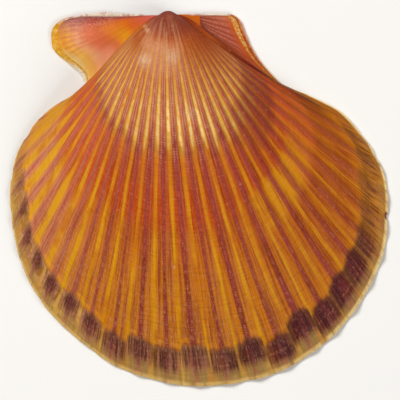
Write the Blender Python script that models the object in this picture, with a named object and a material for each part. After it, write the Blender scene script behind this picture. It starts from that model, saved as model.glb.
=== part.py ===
"""Scallop shell: one valve lying on its rim with the ribbed outside up.

A scallop grows by adding to its edge while the edge swings slowly about the hinge. The whole outside is
therefore one margin, drawn once, and shrunk and swung up step by step as the steps go back to the beak.
The valve is that surface closed into a solid, less the hollow beneath it, cut flat along the rim.
Millimetres here, turned into metres where the meshes are made. The hinge is at +Y and the outside at +Z.
"""

import math

import bmesh
import bpy
import numpy as np
from mathutils import Vector
from mathutils.geometry import interpolate_bezier

METRES_PER_MM = 0.001

# Margin, clockwise from the front end of the hinge line: front ear, disc, rear ear.
FRONT_NOTCH = (-25.9, 25.0)
REAR_NOTCH = (18.6, 25.5)
FRONT_EAR_EDGE = (
    (-26.5, 41.1),
    (-29.4, 40.6),
    (-31.6, 39.6),
    (-33.0, 38.0),
    (-33.2, 35.6),
    (-32.4, 32.8),
    (-28.4, 29.4),
    (-26.3, 27.2),
    FRONT_NOTCH,
)
DISC_EDGE = (
    FRONT_NOTCH,
    (-29.4, 22.6),
    (-33.8, 19.8),
    (-38.0, 15.3),
    (-41.4, 8.5),
    (-42.5, -1.0),
    (-40.2, -14.0),
    (-33.9, -25.4),
    (-21.0, -36.5),
    (-10.0, -40.9),
    (2.0, -42.3),
    (17.8, -39.2),
    (31.4, -29.7),
    (40.2, -16.0),
    (42.5, -3.5),
    (40.8, 7.5),
    (33.8, 17.6),
    (29.0, 21.1),
    (22.9, 23.9),
    REAR_NOTCH,
)
REAR_EAR_EDGE = (
    REAR_NOTCH,
    (14.3, 30.1),
    (12.0, 33.7),
    (10.3, 37.3),
    (9.4, 39.6),
    (8.4, 40.8),
    (7.3, 41.3),
)

# Growth: each earlier margin is smaller by its growth share, 1 at the rim and 0 at the very beak.
POLE = (-9.2, 38.5)
WHORL_EXPANSION = 1.73
BEAK_DRIFT = (2.2, 2.8)
BEAK_DRIFT_POWER = 4
FIRST_STEP = 0.03
FRONT_FLARE = -2.8
REAR_FLARE = 4.9
FLARE_ONSET = 0.05
FLARE_REACH = 0.06
CREASE_BOW = 0.6
FLANK_TUCK = 2.0
TUCK_REACH = 0.1
TUCK_ONSET = 0.1

# Relief
RIM_HEIGHT = 0.7
RIB_COUNT = 31
RIB_CROWDING = 0.0087
RIB_HEIGHT_SHARE = 0.1
RIB_ONSET = (0.08, 0.25)
FRONT_EAR_RIBLETS = 8
REAR_EAR_RIBLETS = 6
RIBLET_HEIGHT = 0.12
LEDGE_STEP = 0.906
LEDGE_HEIGHT = 0.35
LEDGE_FADE = 0.12
LEDGE_RUN = 0.008
EAR_LEDGE_SHARE = 0.5

# Wall
WALL = 2.2
HOLLOW_FIRST_STEP = 0.12
HOLLOW_FLARE_SHARE = 0.2
OUTSIDE_FLOOR = -2.0
HOLLOW_FLOOR = -4.0
GROUND_SIZE = (120.0, 120.0, 10.0)

# Mesh
COLUMNS_PER_RIB = 6
HOLLOW_COLUMNS_PER_RIB = 2
EAR_COLUMNS = 12
GROWTH_ROWS = 14
ROW_CROWDING = 1.5
MERGE = 0.16
CURVE_STEPS = 12

SHELL_COLOUR = (0.50, 0.17, 0.05, 1.0)
SHELL_ROUGHNESS = 0.42


def clear_scene():
    for thing in list(bpy.data.objects):
        bpy.data.objects.remove(thing, do_unlink=True)


def collection(name):
    made = bpy.data.collections.new(name)
    bpy.context.scene.collection.children.link(made)
    return made


def ease(value, low, high):
    """0 below low, 1 above high and a smooth rise between."""
    share = np.clip((value - low) / (high - low), 0.0, 1.0)
    return share * share * (3.0 - 2.0 * share)


def smooth_line(corners):
    """A smooth curve through the given points, as a dense line of points."""
    points = [Vector(corner) for corner in corners]
    before = [points[0]] + points[:-1]
    after = points[1:] + [points[-1]]
    leans = [(b - a) / 6.0 for a, b in zip(before, after)]
    line = []
    for i in range(len(points) - 1):
        start, end = points[i], points[i + 1]
        piece = interpolate_bezier(start, start + leans[i], end - leans[i + 1], end, CURVE_STEPS)
        line += piece[:-1]
    line.append(points[-1])
    return np.array([tuple(point) for point in line])


def along(line, shares):
    """Points on a line at the given shares of its length."""
    lengths = np.concatenate([[0.0], np.cumsum(np.linalg.norm(np.diff(line, axis=0), axis=1))])
    return np.stack([np.interp(shares * lengths[-1], lengths, line[:, k]) for k in range(2)], axis=-1)


class Margin:
    """The valve's edge at full size, column by column from the front of the hinge to its rear."""

    def __init__(self, per_rib, ear_columns, flare_share=1.0):
        disc = np.linspace(0.0, 1.0, RIB_COUNT * per_rib + 1)
        crowded = disc - RIB_CROWDING * np.sin(2.0 * math.pi * disc)
        front = np.linspace(0.0, 1.0, ear_columns, endpoint=False)
        rear = 1.0 - front[::-1]
        edge = np.concatenate(
            [
                along(smooth_line(FRONT_EAR_EDGE), front),
                along(smooth_line(DISC_EDGE), crowded),
                along(smooth_line(REAR_EAR_EDGE), rear),
            ]
        )
        ears, rest = np.zeros(ear_columns), np.zeros(len(disc))
        self.x, self.y = (edge - POLE).T
        self.rib_width = np.linalg.norm(np.diff(smooth_line(DISC_EDGE), axis=0), axis=1).sum() / RIB_COUNT
        self.disc = np.concatenate([ears, disc, ears + 1.0])
        self.is_rear = self.disc > 0.5
        self.in_ear = np.concatenate([ears + 1.0, rest, ears + 1.0]) > 0.0
        notch_y = np.where(self.is_rear, REAR_NOTCH[1], FRONT_NOTCH[1]) - POLE[1]
        hinge_y = np.where(self.is_rear, REAR_EAR_EDGE[-1][1], FRONT_EAR_EDGE[0][1]) - POLE[1]
        self.notch_y = notch_y
        self.hinge_y = hinge_y
        self.rise = np.where(self.in_ear, (self.y - notch_y) / (hinge_y - notch_y), 0.0)
        ear_share = np.concatenate([1.0 - front, rest, rear])
        self.rib = RIB_COUNT * self.disc
        self.rib_strength = np.where(self.in_ear, 0.0, np.sin(math.pi * self.disc) ** 0.5)
        riblets = np.where(self.is_rear, REAR_EAR_RIBLETS, FRONT_EAR_RIBLETS)
        self.riblet = riblets * ear_share
        self.riblet_strength = np.where(self.in_ear, np.sin(math.pi * ear_share) ** 0.5, 0.0)
        from_notch = np.minimum(self.disc, 1.0 - self.disc)
        by_ear = np.where(self.in_ear, 1.0, np.clip(1.0 - from_notch / FLARE_REACH, 0.0, 1.0) ** 2)
        self.flare = flare_share * by_ear * np.where(self.is_rear, REAR_FLARE, FRONT_FLARE)
        self.bow = by_ear * CREASE_BOW
        self.tuck = FLANK_TUCK * np.sin(math.pi * np.clip(from_notch / TUCK_REACH, 0.0, 1.0))

    def inward(self):
        """Unit vectors across the margin, towards the middle of the disc."""
        along_x, along_y = np.gradient(self.x), np.gradient(self.y)
        length = np.hypot(along_x, along_y)
        return -along_y / length, along_x / length


def grown(margin, steps, inset=0.0):
    """The smooth outside, one row of points for each growth step and one column for each margin point.

    With an inset every row keeps that far inside the outside's own row, which gives the hollow.
    """
    step = steps[:, None]
    inward_x, inward_y = margin.inward()
    margin_x = margin.x + inward_x * inset / step
    margin_y = margin.y + inward_y * inset / step
    swing = -np.log(step) / WHORL_EXPANSION
    drift = (1.0 - step) ** BEAK_DRIFT_POWER
    flare = (1.0 - step) * step / (step + FLARE_ONSET)
    bow = 4.0 * step * (1.0 - step)
    tuck = step * (1.0 - step) / (1.0 - step + TUCK_ONSET)
    x = POLE[0] + BEAK_DRIFT[0] * drift + margin.flare * flare + margin_x * step
    root_y = np.where(margin.in_ear, margin.notch_y, margin_y)
    y = POLE[1] + BEAK_DRIFT[1] * drift + root_y * step * np.cos(swing)
    y += margin.bow * bow - margin.tuck * tuck
    y += margin.rise * (POLE[1] + margin.hinge_y - y)
    z = RIM_HEIGHT - (1.0 - margin.rise) * root_y * step * np.sin(swing)
    return np.stack([x, y, z], axis=-1)


def outward(points):
    """The unit normal at each point of a grid of points."""
    normals = np.cross(np.gradient(points, axis=0), np.gradient(points, axis=1))
    return normals / np.linalg.norm(normals, axis=2, keepdims=True)


def relief(margin, steps):
    """Height of ribs, ear riblets and growth ledge over the smooth outside."""
    step = steps[:, None]
    rib_swell = 0.5 * RIB_HEIGHT_SHARE * margin.rib_width * step
    ribs = rib_swell * np.cos(2.0 * math.pi * margin.rib) * margin.rib_strength
    riblets = 0.5 * RIBLET_HEIGHT * np.cos(2.0 * math.pi * margin.riblet) * margin.riblet_strength
    older = np.clip(LEDGE_STEP - step, 0.0, None)
    ledge = np.where(step <= LEDGE_STEP, LEDGE_HEIGHT * np.exp(-older / LEDGE_FADE), 0.0)
    ledge_strength = margin.rib_strength + EAR_LEDGE_SHARE * margin.riblet_strength
    return (ribs + riblets) * ease(step, *RIB_ONSET) + ledge * ledge_strength


def growth_steps(first):
    """Growth shares from the beak to the rim, closer together near the beak, with both sides of the ledge."""
    steps = np.linspace(first ** (1.0 / ROW_CROWDING), 1.0, GROWTH_ROWS) ** ROW_CROWDING
    near = np.argmin(abs(steps - LEDGE_STEP))
    steps[near] = LEDGE_STEP
    return np.insert(steps, near + 1, LEDGE_STEP + LEDGE_RUN)


def closed_form(name, points, floor, home):
    """A grid of points as a solid: its first row is closed across, and its edge goes straight down to a floor."""
    rows, columns = points.shape[:2]
    bm = bmesh.new()
    bmesh.ops.create_grid(bm, x_segments=columns - 1, y_segments=rows - 1, size=1.0)
    bm.verts.ensure_lookup_table()
    for vert, place in zip(bm.verts, points.reshape(-1, 3)):
        vert.co = Vector(place) * METRES_PER_MM
    first_row = set(bm.verts[:columns])
    bmesh.ops.contextual_create(bm, geom=[edge for edge in bm.edges if first_row.issuperset(edge.verts)])
    bmesh.ops.remove_doubles(bm, verts=bm.verts, dist=MERGE * METRES_PER_MM)
    open_edges = [edge for edge in bm.edges if edge.is_boundary]
    wall = bmesh.ops.extrude_edge_only(bm, edges=open_edges)["geom"]
    for item in wall:
        if isinstance(item, bmesh.types.BMVert):
            item.co.z = floor * METRES_PER_MM
    bmesh.ops.holes_fill(bm, edges=[edge for edge in bm.edges if edge.is_boundary], sides=0)
    bmesh.ops.recalc_face_normals(bm, faces=bm.faces)
    mesh = bpy.data.meshes.new(name)
    bm.to_mesh(mesh)
    bm.free()
    form = bpy.data.objects.new(name, mesh)
    home.objects.link(form)
    return form


def ground(home):
    """A block whose top is the plane of the rim."""
    bm = bmesh.new()
    bmesh.ops.create_cube(bm, size=1.0)
    size = Vector(GROUND_SIZE) * METRES_PER_MM
    bmesh.ops.scale(bm, verts=bm.verts, vec=size)
    bmesh.ops.translate(bm, verts=bm.verts, vec=(0.0, 0.0, -0.5 * size.z))
    mesh = bpy.data.meshes.new("ground")
    bm.to_mesh(mesh)
    bm.free()
    block = bpy.data.objects.new("ground", mesh)
    home.objects.link(block)
    return block


def as_cutter(form):
    form.hide_render = True
    form.display_type = "WIRE"
    return form


def cut(target, cutter):
    modifier = target.modifiers.new("less " + cutter.name, "BOOLEAN")
    modifier.operation = "DIFFERENCE"
    modifier.solver = "EXACT"
    modifier.object = cutter


def shell_material():
    material = bpy.data.materials.new("shell")
    material.use_nodes = True
    surface = material.node_tree.nodes["Principled BSDF"]
    surface.inputs["Base Color"].default_value = SHELL_COLOUR
    surface.inputs["Roughness"].default_value = SHELL_ROUGHNESS
    surface.inputs["Metallic"].default_value = 0.0
    return material


def valve(parts, cutters):
    outer = Margin(COLUMNS_PER_RIB, EAR_COLUMNS)
    outer_steps = growth_steps(FIRST_STEP)
    outside = grown(outer, outer_steps)
    outside += outward(outside) * relief(outer, outer_steps)[:, :, None]
    inner = Margin(HOLLOW_COLUMNS_PER_RIB, 0, HOLLOW_FLARE_SHARE)
    inside = grown(inner, growth_steps(HOLLOW_FIRST_STEP), WALL)
    shell = closed_form("scallop_valve", outside, OUTSIDE_FLOOR, parts)
    shell.data.materials.append(shell_material())
    shell.data.shade_smooth()
    cut(shell, as_cutter(closed_form("hollow", inside, HOLLOW_FLOOR, cutters)))
    cut(shell, as_cutter(ground(cutters)))
    return shell


def main():
    clear_scene()
    parts = collection("scallop_shell")
    cutters = collection("cutters")
    valve(parts, cutters)


main()
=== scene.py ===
"""Looks of the scallop shell: the fine shape and finish of the valve, and the scales along its hinge edge.

The valve follows the same growth as its solid: one margin, shrunk and swung up step by step back to the beak.
Lengths in the shape sections are millimetres, turned into metres where the meshes are made.
"""

import math

import bmesh
import bpy
import numpy as np
from mathutils import Matrix, Vector, noise
from mathutils.geometry import interpolate_bezier


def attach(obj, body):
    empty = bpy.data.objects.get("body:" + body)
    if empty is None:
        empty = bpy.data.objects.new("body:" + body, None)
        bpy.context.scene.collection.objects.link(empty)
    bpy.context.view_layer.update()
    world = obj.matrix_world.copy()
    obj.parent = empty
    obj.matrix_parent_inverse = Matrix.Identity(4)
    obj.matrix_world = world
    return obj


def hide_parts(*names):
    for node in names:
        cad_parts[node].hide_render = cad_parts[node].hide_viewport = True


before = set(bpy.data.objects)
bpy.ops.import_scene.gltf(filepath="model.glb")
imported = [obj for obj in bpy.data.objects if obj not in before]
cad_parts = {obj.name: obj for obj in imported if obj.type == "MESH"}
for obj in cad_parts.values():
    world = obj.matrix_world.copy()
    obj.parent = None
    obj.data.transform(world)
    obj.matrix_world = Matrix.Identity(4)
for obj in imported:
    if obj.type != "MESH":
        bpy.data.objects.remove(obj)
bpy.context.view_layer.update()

METRES_PER_MM = 0.001

# Margin, anticlockwise from above: front ear, from the hinge line down, then disc, then rear ear.
FRONT_NOTCH = (-25.9, 25.0)
REAR_NOTCH = (18.6, 25.5)
FRONT_EAR_EDGE = (
    (-26.5, 41.1),
    (-29.4, 40.6),
    (-31.6, 39.6),
    (-33.0, 38.0),
    (-33.2, 35.6),
    (-32.4, 32.8),
    (-28.4, 29.4),
    (-26.3, 27.2),
    FRONT_NOTCH,
)
DISC_EDGE = (
    FRONT_NOTCH,
    (-29.4, 22.6),
    (-33.8, 19.8),
    (-38.0, 15.3),
    (-41.4, 8.5),
    (-42.5, -1.0),
    (-40.2, -14.0),
    (-33.9, -25.4),
    (-21.0, -36.5),
    (-10.0, -40.9),
    (2.0, -42.3),
    (17.8, -39.2),
    (31.4, -29.7),
    (40.2, -16.0),
    (42.5, -3.5),
    (40.8, 7.5),
    (33.8, 17.6),
    (29.0, 21.1),
    (22.9, 23.9),
    REAR_NOTCH,
)
REAR_EAR_EDGE = (
    REAR_NOTCH,
    (14.3, 30.1),
    (12.0, 33.7),
    (10.3, 37.3),
    (9.4, 39.6),
    (8.4, 40.8),
    (7.3, 41.3),
)

# Growth
POLE = (-9.2, 38.5)
WHORL_EXPANSION = 1.73
BEAK_DRIFT = (2.2, 2.8)
BEAK_DRIFT_POWER = 4
FIRST_STEP = 0.03
FRONT_FLARE = -2.8
REAR_FLARE = 4.9
FLARE_ONSET = 0.05
FLARE_REACH = 0.06
CREASE_BOW = 0.6
FLANK_TUCK = 2.0
TUCK_REACH = 0.1
TUCK_ONSET = 0.1

# Relief
RIM_HEIGHT = 0.7
RIB_COUNT = 31
RIB_CROWDING = 0.0087
RIB_HEIGHT_SHARE = 0.1
RIB_ONSET = (0.08, 0.25)
CORD_HEIGHT = 0.12
CORD_WIDTH = 0.11
FRONT_EAR_RIBLETS = 8
REAR_EAR_RIBLETS = 6
RIBLET_HEIGHT = 0.12
LEDGE_STEP = 0.903
LEDGE_HEIGHT = 0.14
LEDGE_FADE = 0.12
LEDGE_RUN = 0.004
EAR_LEDGE_SHARE = 0.5

# Fringe of worn scales along the hinge line: each corner is x, y of the foot and the length there
FRONT_FRINGE = (
    (-31.8, 39.1, 0.25),
    (-30.4, 39.9, 0.3),
    (-28.2, 40.5, 0.35),
    (-26.5, 40.8, 0.55),
    (-23.8, 40.85, 0.8),
    (-22.0, 40.8, 1.1),
    (-20.0, 40.8, 1.15),
    (-17.5, 40.8, 0.9),
    (-14.0, 40.8, 0.65),
    (-10.8, 40.85, 0.35),
)
REAR_FRINGE = (
    (-4.2, 41.1, 0.2),
    (0.0, 41.05, 0.45),
    (4.0, 41.05, 0.5),
    (7.2, 41.0, 0.35),
)
SCALE_SPACING = 0.12
SCALE_SIDES = 5
SCALE_WIDTH = 0.32
SCALE_TIP = 0.03
SCALE_THICKNESS = 0.4
SCALE_LEAN = 0.35
SCALE_SHIFT = 0.05
SCALE_EVEN_LENGTH = 0.95
SCALE_WILD_LENGTH = 0.4
SCALE_FINE_LENGTH = 0.6
WILD_NOISE_PER_MM = 3.1
FINE_NOISE_PER_MM = 9.7
FINE_NOISE_LINE = 5.0

# Wall of the valve
WALL = 1.0
WALL_ONSET = 0.25
INSIDE_RELIEF = 0.8

# Worn rim. The noise of the nicks is given as roughness, spacing and number of its octaves.
EVEN_RIM = (0.9, 1.0)
NICK_ONSET = 0.975
NICK_DEPTH = 0.5
NICK_SHARE = (-0.1, 0.7)
NICK_OCTAVES = (1.0, 2.0, 3)
NICKS_PER_RIB = 1.3
NICKS_PER_EAR = 4.0
CHIP_RIB = 24.4
CHIP_REACH = 0.16
CHIP_DEPTH = 1.1

# Meshes
COLUMNS_PER_RIB = 12
EAR_COLUMNS = 36
GROWTH_ROWS = 151
INSIDE_COARSENESS = 2
ROW_CROWDING = 1.5
CURVE_STEPS = 12

# Numbers kept on each point of the valve, and its finishes by their place in the list. A face whose ear
# numbers add up to less than OFF_EARS lies on the disc.
GROWTH_NUMBERS = ("rib", "growth", "ear")
DISC, FRONT_EAR, REAR_EAR, INSIDE = range(4)
OFF_EARS = 1e-6


# ---------------------------------------------------------------- shape


def ease(value, low, high):
    """0 below low, 1 above high and a smooth rise between."""
    share = np.clip((value - low) / (high - low), 0.0, 1.0)
    return share * share * (3.0 - 2.0 * share)


def smooth_line(corners):
    """A smooth curve through the given points, as a dense line of points."""
    points = [Vector(corner) for corner in corners]
    before = [points[0]] + points[:-1]
    after = points[1:] + [points[-1]]
    leans = [(b - a) / 6.0 for a, b in zip(before, after)]
    line = []
    for i in range(len(points) - 1):
        start, end = points[i], points[i + 1]
        piece = interpolate_bezier(start, start + leans[i], end - leans[i + 1], end, CURVE_STEPS)
        line += piece[:-1]
    line.append(points[-1])
    return np.array([tuple(point) for point in line])


def along(line, shares):
    """Points on a line at the given shares of its length."""
    lengths = np.concatenate([[0.0], np.cumsum(np.linalg.norm(np.diff(line, axis=0), axis=1))])
    return np.stack([np.interp(shares * lengths[-1], lengths, line[:, k]) for k in range(2)], axis=-1)


class Margin:
    """The valve's edge at full size, column by column from the front of the hinge to its rear."""

    def __init__(self, per_rib, ear_columns):
        disc = np.linspace(0.0, 1.0, RIB_COUNT * per_rib + 1)
        front = np.linspace(0.0, 1.0, ear_columns, endpoint=False)
        rear = 1.0 - front[::-1]
        ear, rest = np.zeros(ear_columns), np.zeros(len(disc))
        self.disc = np.concatenate([ear, disc, ear + 1.0])
        self.is_rear = self.disc > 0.5
        self.in_ear = np.concatenate([ear + 1.0, rest, ear + 1.0]) > 0.0
        self.ear_share = np.concatenate([1.0 - front, rest, rear])
        self.draw(front, disc, rear)
        self.number_ribs()
        self.bend()

    def draw(self, front, disc, rear):
        """The edge in plan, measured from the pole of growth, and how far up its ear each place lies."""
        crowded = disc - RIB_CROWDING * np.sin(2.0 * math.pi * disc)
        disc_line = smooth_line(DISC_EDGE)
        front_edge = along(smooth_line(FRONT_EAR_EDGE), front)
        rear_edge = along(smooth_line(REAR_EAR_EDGE), rear)
        self.x, self.y = (np.concatenate([front_edge, along(disc_line, crowded), rear_edge]) - POLE).T
        self.rib_width = np.linalg.norm(np.diff(disc_line, axis=0), axis=1).sum() / RIB_COUNT
        self.notch_y = np.where(self.is_rear, REAR_NOTCH[1], FRONT_NOTCH[1]) - POLE[1]
        self.hinge_y = np.where(self.is_rear, REAR_EAR_EDGE[-1][1], FRONT_EAR_EDGE[0][1]) - POLE[1]
        self.rise = np.where(self.in_ear, (self.y - self.notch_y) / (self.hinge_y - self.notch_y), 0.0)

    def number_ribs(self):
        """The rib or riblet at each place, and how strong it is there."""
        self.rib = RIB_COUNT * self.disc
        self.rib_strength = np.where(self.in_ear, 0.0, np.sin(math.pi * self.disc) ** 0.5)
        self.riblet = np.where(self.is_rear, REAR_EAR_RIBLETS, FRONT_EAR_RIBLETS) * self.ear_share
        self.riblet_strength = np.where(self.in_ear, np.sin(math.pi * self.ear_share) ** 0.5, 0.0)

    def bend(self):
        """How the ears and the flanks beside them lean away from the plain growth."""
        from_notch = np.minimum(self.disc, 1.0 - self.disc)
        by_ear = np.where(self.in_ear, 1.0, np.clip(1.0 - from_notch / FLARE_REACH, 0.0, 1.0) ** 2)
        self.flare = by_ear * np.where(self.is_rear, REAR_FLARE, FRONT_FLARE)
        self.bow = by_ear * CREASE_BOW
        self.tuck = FLANK_TUCK * np.sin(math.pi * np.clip(from_notch / TUCK_REACH, 0.0, 1.0))


def grown(margin, steps):
    """The smooth outside, one row of points for each growth step and one column for each margin point."""
    step = steps[:, None]
    swing = -np.log(step) / WHORL_EXPANSION
    drift = (1.0 - step) ** BEAK_DRIFT_POWER
    flare = (1.0 - step) * step / (step + FLARE_ONSET)
    bow = 4.0 * step * (1.0 - step)
    tuck = step * (1.0 - step) / (1.0 - step + TUCK_ONSET)
    x = POLE[0] + BEAK_DRIFT[0] * drift + margin.flare * flare + margin.x * step
    root_y = np.where(margin.in_ear, margin.notch_y, margin.y)
    y = POLE[1] + BEAK_DRIFT[1] * drift + root_y * step * np.cos(swing)
    y += margin.bow * bow - margin.tuck * tuck
    y += margin.rise * (POLE[1] + margin.hinge_y - y)
    z = RIM_HEIGHT - (1.0 - margin.rise) * root_y * step * np.sin(swing)
    return np.stack([x, y, z], axis=-1)


def outward(points):
    """The unit normal at each point of a grid of points."""
    normals = np.cross(np.gradient(points, axis=0), np.gradient(points, axis=1))
    return normals / np.linalg.norm(normals, axis=2, keepdims=True)


def relief(margin, steps):
    """Height of ribs, their crest cords, ear riblets and the growth ledge over the smooth outside."""
    step = steps[:, None]
    rib_swell = 0.5 * RIB_HEIGHT_SHARE * margin.rib_width * step
    from_crest = abs((margin.rib + 0.5) % 1.0 - 0.5)
    cords = CORD_HEIGHT * np.exp(-((from_crest / CORD_WIDTH) ** 2)) * step
    ribs = (rib_swell * np.cos(2.0 * math.pi * margin.rib) + cords) * margin.rib_strength
    riblets = 0.5 * RIBLET_HEIGHT * np.cos(2.0 * math.pi * margin.riblet) * margin.riblet_strength
    older = np.clip(LEDGE_STEP - step, 0.0, None)
    ledge = np.where(step <= LEDGE_STEP, LEDGE_HEIGHT * np.exp(-older / LEDGE_FADE), 0.0)
    ledge_strength = margin.rib_strength + EAR_LEDGE_SHARE * margin.riblet_strength
    return (ribs + riblets) * ease(step, *RIB_ONSET) + ledge * ledge_strength


def growth_steps(rows):
    """Growth shares from the beak to the rim, closer near the beak, with both sides of the ledge."""
    steps = np.linspace(FIRST_STEP ** (1.0 / ROW_CROWDING), 1.0, rows) ** ROW_CROWDING
    near = np.argmin(abs(steps - LEDGE_STEP))
    steps[near] = LEDGE_STEP
    steps[near + 1] = LEDGE_STEP + LEDGE_RUN
    return steps


def nicks(margin, steps):
    """How far the worn edge is nicked back, with one deeper chip, at each growth step and margin point."""
    spots = zip(NICKS_PER_RIB * margin.rib, NICKS_PER_EAR * margin.ear_share)
    uneven = np.array([noise.fractal(Vector((rib, ear, 0.0)), *NICK_OCTAVES) for rib, ear in spots])
    worn = NICK_DEPTH * ease(uneven, *NICK_SHARE)
    chip = CHIP_DEPTH * ease(abs(margin.rib - CHIP_RIB), CHIP_REACH, 0.0)
    return np.maximum(worn, chip) * ease(steps, NICK_ONSET, 1.0)[:, None]


def nicked(points, margin, steps):
    """The grid with its last rows drawn back, level with the ground, where the edge is nicked."""
    inwards = -outward(points)
    inwards[:, :, 2] = 0.0
    return points + inwards * nicks(margin, steps)[:, :, None]


def outside_points(margin, steps):
    """The outer face. Towards the rim its relief rises upwards only, so that the outline stays even."""
    points = grown(margin, steps)
    rise = outward(points) * relief(margin, steps)[:, :, None]
    rise[:, :, :2] *= 1.0 - ease(steps, *EVEN_RIM)[:, None, None]
    return nicked(points, margin, steps) + rise


def inside_points(margin, steps):
    """The inner face: a wall's thickness under the outside, its ribs softened, never below the ground."""
    points = grown(margin, steps)
    wall = WALL * np.clip(steps / WALL_ONSET, 0.0, 1.0)[:, None]
    depth = wall - INSIDE_RELIEF * relief(margin, steps)
    sunk = nicked(points, margin, steps) - outward(points) * depth[:, :, None]
    sunk[:, :, 2] = np.maximum(sunk[:, :, 2], 0.0)
    return sunk


# ---------------------------------------------------------------- meshes


def edges_within(bm, verts):
    """The edges that have both ends among the given points."""
    chosen = set(verts)
    return [edge for edge in bm.edges if chosen.issuperset(edge.verts)]


def add_sheet(bm, points, margin, steps, finish):
    """Adds a grid of points, closed across its first row, and hands back its front, rim and rear edges.

    Each point keeps its rib, its growth share and its place on an ear, below 0 on the front one.
    """
    rows, columns = points.shape[:2]
    old_verts, old_faces = len(bm.verts), len(bm.faces)
    bmesh.ops.create_grid(bm, x_segments=columns - 1, y_segments=rows - 1, size=1.0)
    bm.verts.ensure_lookup_table()
    verts = bm.verts[old_verts:]
    on_ear = np.where(margin.is_rear, 1.0, -1.0) * margin.ear_share
    numbers = np.stack(np.broadcast_arrays(margin.rib, steps[:, None], on_ear), axis=-1)
    rib, growth, ear = (bm.verts.layers.float[name] for name in GROWTH_NUMBERS)
    for vert, place, number in zip(verts, points.reshape(-1, 3), numbers.reshape(-1, 3)):
        vert.co = Vector(place) * METRES_PER_MM
        vert[rib], vert[growth], vert[ear] = number
    bmesh.ops.contextual_create(bm, geom=edges_within(bm, verts[:columns]))
    bm.faces.ensure_lookup_table()
    for face in bm.faces[old_faces:]:
        face.material_index = finish
    sides = (verts[::columns], verts[-columns:], verts[columns - 1 :: columns])
    return [edges_within(bm, side) for side in sides]


def in_scene(name, data):
    """An object with the given mesh, light or camera, in the scene."""
    made = bpy.data.objects.new(name, data)
    bpy.context.scene.collection.objects.link(made)
    return made


def as_mesh(bm, name, materials):
    """Turns a finished bmesh into a mesh with its materials."""
    mesh = bpy.data.meshes.new(name)
    bm.to_mesh(mesh)
    bm.free()
    for material in materials:
        mesh.materials.append(material)
    return mesh


def as_piece(bm, name, materials):
    """A smooth piece of the shell that rides on its one body."""
    mesh = as_mesh(bm, name, materials)
    mesh.shade_smooth()
    piece = in_scene(name, mesh)
    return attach(piece, "root")


def give_finishes(bm):
    """Gives the faces on each ear their own finish; the disc and the hollow have theirs already."""
    ear = bm.verts.layers.float["ear"]
    for face in bm.faces:
        on_ear = sum(vert[ear] for vert in face.verts)
        if face.material_index == INSIDE or abs(on_ear) < OFF_EARS:
            continue
        face.material_index = FRONT_EAR if on_ear < 0.0 else REAR_EAR


def valve(finishes):
    """The valve: an outer and an inner sheet, joined at their hinge edges and round the rim."""
    bm = bmesh.new()
    for name in GROWTH_NUMBERS:
        bm.verts.layers.float.new(name)
    outer = Margin(COLUMNS_PER_RIB, EAR_COLUMNS)
    outer_steps = growth_steps(GROWTH_ROWS)
    outer_sides = add_sheet(bm, outside_points(outer, outer_steps), outer, outer_steps, DISC)
    inner = Margin(COLUMNS_PER_RIB // INSIDE_COARSENESS, EAR_COLUMNS // INSIDE_COARSENESS)
    inner_steps = growth_steps(GROWTH_ROWS // INSIDE_COARSENESS + 1)
    inner_sides = add_sheet(bm, inside_points(inner, inner_steps), inner, inner_steps, INSIDE)
    for outer_side, inner_side in zip(outer_sides, inner_sides):
        bmesh.ops.bridge_loops(bm, edges=outer_side + inner_side)
    bmesh.ops.contextual_create(bm, geom=[edge for edge in bm.edges if edge.is_boundary])
    bmesh.ops.recalc_face_normals(bm, faces=bm.faces)
    give_finishes(bm)
    outer_rim = outer_sides[1]
    for edge in outer_rim:
        edge.smooth = False
    return as_piece(bm, "valve", finishes)


def add_scale(bm, foot, length, lean):
    """Adds one pointed scale that stands on its foot and points away from the hinge."""
    foot_radius, tip_radius = SCALE_WIDTH / 2.0, SCALE_TIP / 2.0
    sizes = {"segments": SCALE_SIDES, "radius1": foot_radius, "radius2": tip_radius, "depth": length}
    verts = bmesh.ops.create_cone(bm, cap_ends=True, **sizes)["verts"]
    bmesh.ops.translate(bm, verts=verts, vec=(0.0, 0.0, length / 2.0))
    bmesh.ops.rotate(bm, verts=verts, matrix=Matrix.Rotation(-math.pi / 2.0, 3, "X"))
    bmesh.ops.scale(bm, verts=verts, vec=(1.0, 1.0, SCALE_THICKNESS / SCALE_WIDTH))
    bmesh.ops.rotate(bm, verts=verts, matrix=Matrix.Rotation(lean, 3, "Z"))
    bmesh.ops.translate(bm, verts=verts, vec=(foot[0], foot[1], RIM_HEIGHT))


def fringe(name, corners, finish):
    """A row of overlapping scales of uneven length along a hinge line."""
    bm = bmesh.new()
    x, y, length = np.array(corners).T
    for place in np.arange(x[0], x[-1], SCALE_SPACING):
        wild = noise.noise(Vector((WILD_NOISE_PER_MM * place, 0.0, 0.0)))
        fine = noise.noise(Vector((FINE_NOISE_PER_MM * place, FINE_NOISE_LINE, 0.0)))
        foot = (place + SCALE_SHIFT * fine, float(np.interp(place, x, y)))
        uneven = SCALE_EVEN_LENGTH + SCALE_WILD_LENGTH * wild + SCALE_FINE_LENGTH * fine
        add_scale(bm, foot, float(np.interp(place, x, length)) * uneven, SCALE_LEAN * wild)
    bmesh.ops.scale(bm, verts=bm.verts, vec=(METRES_PER_MM,) * 3)
    return as_piece(bm, name, [finish])


# ---------------------------------------------------------------- finishes


def colour(red, green, blue):
    """An everyday 0 to 255 colour as the linear colour that a shader takes."""
    shares = [value / 255.0 for value in (red, green, blue)]
    return tuple(s / 12.92 if s <= 0.04045 else ((s + 0.055) / 1.055) ** 2.4 for s in shares) + (1.0,)


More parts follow.
